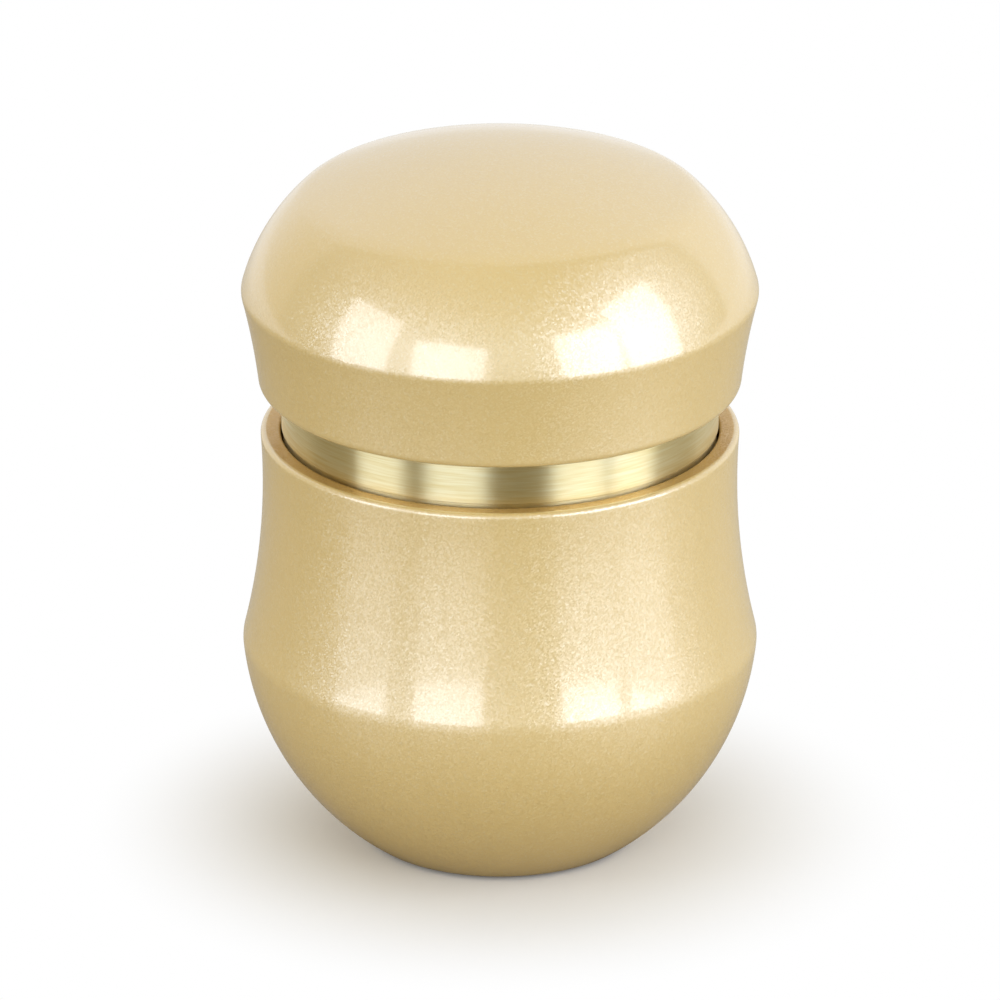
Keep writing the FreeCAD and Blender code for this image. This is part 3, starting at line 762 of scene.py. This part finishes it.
def studio_room():
    """The light from every way, by how far that way points right, behind and above.

    The backdrop begins where behind - 0.06 right + 0.48 above^4 passes from 0.40 to 0.50, so it leans
    over the grinder, and it dims to the far left and overhead.  The rest is dim and warm, darkest low
    between the boxes, with daylight spilling round the right box.  A camera sees white, and a gloss
    sees the backdrop whiter than it lights.
    """
    between_boxes, over_boxes = (0.23, 0.195, 0.115, 1), (0.46, 0.50, 0.45, 1)
    sides, spilt_light = (0.36, 0.325, 0.23, 1), (0.95, 1.0, 1.1, 1)
    upper_left, upper_right = (0.50, 0.45, 0.35, 1), (0.35, 0.31, 0.23, 1)
    dim_backdrop, pale_backdrop = (0.62, 0.53, 0.36, 1), (0.75, 0.72, 0.64, 1)
    room = Finish(bpy.data.worlds.new("room"))
    way = room.node("TexCoord", "Generated")
    right, behind, above = (room.node("SeparateXYZ", axis, {}, {0: way}) for axis in "XYZ")
    gap = room.mix(room.between(above, 0.15, 0.45), between_boxes, over_boxes)
    low = room.mix(room.between(0 - behind, 0.50, 0.80), sides, gap)
    high = room.mix(room.between(right, -0.3, 0.3), upper_left, upper_right)
    dark = room.mix(room.between(above, 0.4, 0.7), low, high)
    spill = room.between(0.89 * right - 0.16 * behind + 0.42 * above, 0.78, 0.95)
    glowing = room.mix(spill * 0.5, dark, spilt_light)
    backdrop = room.between(behind - 0.06 * right + 0.48 * above ** 4.0, 0.40, 0.50)
    overhead = room.between(above - 0.25 * right, 0.92, 1.0)
    whiter = room.between(right, -0.95, -0.35) * (1 - 0.6 * room.between(above, 0.55, 0.95))
    pale = room.mix(whiter, dim_backdrop, pale_backdrop)
    lit = room.mix(room.math("MAXIMUM", backdrop, 0.6 * overhead), glowing, pale)
    to_camera, glossy, transmitted = ray_kinds(room)
    seen = to_camera + (glossy + transmitted) * backdrop * (0.12 + 0.62 * whiter)
    background = room.tree.nodes["Background"]
    room.fill(background.inputs["Color"], room.mix(seen, lit, (1, 1, 1, 1)))
    return room.owner


scene.world = studio_room()


def white_table():
    """Gloss card near the grinder, where its shadow falls, and plain white light further off.

    To all but camera rays the card carries painted shade: it is darkest in front of the grinder and
    darker on the left and close in.  Its sheen grows with Fresnel's share up to a ceiling.  A camera
    sees it white and without sheen, and a gloss sees the white behind the grinder.
    """
    # Painted shade: these dim colours, seen by all but camera rays, stand in for shade close round, in
    # front of and to the left of the grinder.
    painted_shade_close_in, painted_shade_in_front, white_card = (0.32, 0.27, 0.205, 1), (0.14, 0.10, 0.04, 1), (0.92, 0.92, 0.92, 1)
    painted_shade_on_left, on_right = (0.34, 0.29, 0.205, 1), (0.54, 0.485, 0.39, 1)
    sheen_ceiling = 0.29
    finish = new_finish("white_table")
    to_camera, glossy, transmitted = ray_kinds(finish)
    right, behind = (finish.node("SeparateXYZ", axis, {}, {0: finish.place()}) for axis in "XY")
    past_shadow = finish.between(finish.off_axis(), 16 * MM, 45 * MM)
    past_grinder = finish.between(behind, 100 * MM, 400 * MM)
    white = to_camera * past_shadow + (glossy + transmitted) * past_grinder
    # Painted shade: darker on the left, darker still close round the grinder and darkest in front of it.
    beside = finish.mix(finish.between(right, -120 * MM, 20 * MM), painted_shade_on_left, on_right)
    around = finish.mix(finish.between(finish.off_axis(), 18 * MM, 65 * MM), painted_shade_close_in, beside)
    dim = finish.mix(finish.between(behind, -110 * MM, -50 * MM), painted_shade_in_front, around)
    card = finish.node("BsdfDiffuse", 0, {}, {"Color": finish.mix(to_camera, dim, white_card)})
    gloss = finish.node("BsdfAnisotropic", 0, {}, {"Color": (1, 1, 1, 1), "Roughness": 0.36})
    sheen = finish.node("Fresnel", 0, {}, {"IOR": 1.5}) * 1.7
    shine = finish.math("MINIMUM", sheen, sheen_ceiling) * (1 - to_camera)
    coated = finish.node("MixShader", 0, {}, {0: shine, 1: card, 2: gloss})
    glow = finish.node("Emission", 0, {}, {"Color": (1, 1, 1, 1), "Strength": 1.0})
    both = finish.node("MixShader", 0, {}, {0: white, 1: coated, 2: glow})
    finish.fill(finish.tree.nodes["Material Output"].inputs["Surface"], both)
    return finish.owner


TABLE_HALF = 3.0
table_corners = TABLE_HALF * np.array([[-1, -1, 0], [1, -1, 0], [1, 1, 0], [-1, 1, 0]])
table = new_piece("table", table_corners, [[0, 1, 2, 3]])
table.data.materials.append(white_table())

CAMERA_DISTANCE = 1.5
CAMERA_ELEVATION = 21.8
PICTURE_HEIGHT = 106.6 * MM

lens = bpy.data.cameras.new("camera")
lens.sensor_width = 36
lens.lens = lens.sensor_width * CAMERA_DISTANCE / PICTURE_HEIGHT
lens.clip_end = 20
camera = bpy.data.objects.new("camera", lens)
camera.location = GRINDER_MIDDLE + direction(0, CAMERA_ELEVATION) * CAMERA_DISTANCE
camera.rotation_euler = direction(0, CAMERA_ELEVATION).to_track_quat("Z", "Y").to_euler()
scene.collection.objects.link(camera)
scene.camera = camera
